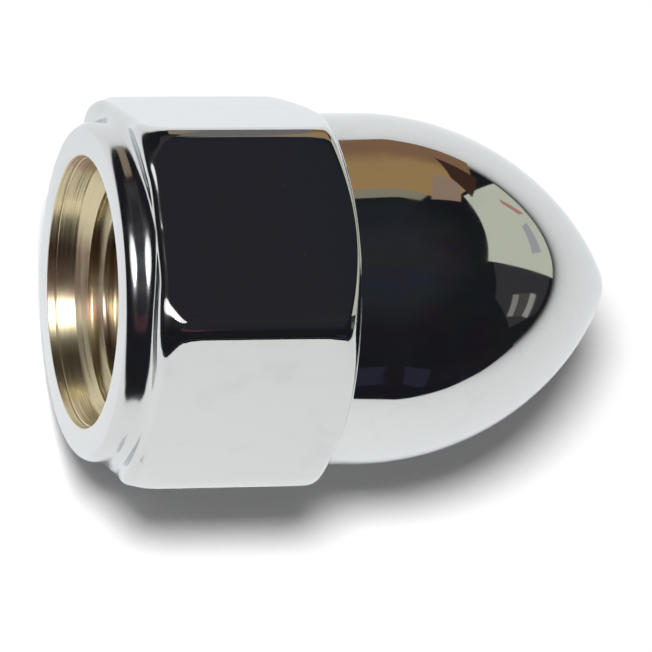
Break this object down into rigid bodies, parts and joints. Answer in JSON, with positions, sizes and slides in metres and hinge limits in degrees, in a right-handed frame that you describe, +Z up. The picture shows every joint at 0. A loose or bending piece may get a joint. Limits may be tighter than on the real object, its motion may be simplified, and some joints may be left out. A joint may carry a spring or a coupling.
{
  "type": "cap nut",
  "caption": "Chromed bullet-nosed cap nut: a hexagon with a round collar at its tapped, countersunk open end and a long ogive dome at the closed end.",
  "frame": {"origin": "centre of the ring-shaped bearing face round the mouth, on the thread axis", "axes": "-X out of the threaded mouth and +X to the tip of the dome, along the thread axis; +Z up out of one hexagon flat while the nut lies on the opposite one; +Y to one of the hexagon's corner edges"},
  "size_m": [0.0286, 0.0216, 0.019],
  "materials": {
    "chromium_plate": "bright polished chromium plate, thinner and brass-tinted inside the tapped hole"
  },
  "bodies": {
    "root": {"cap_nut": "chromium_plate"}
  },
  "joints": []
}
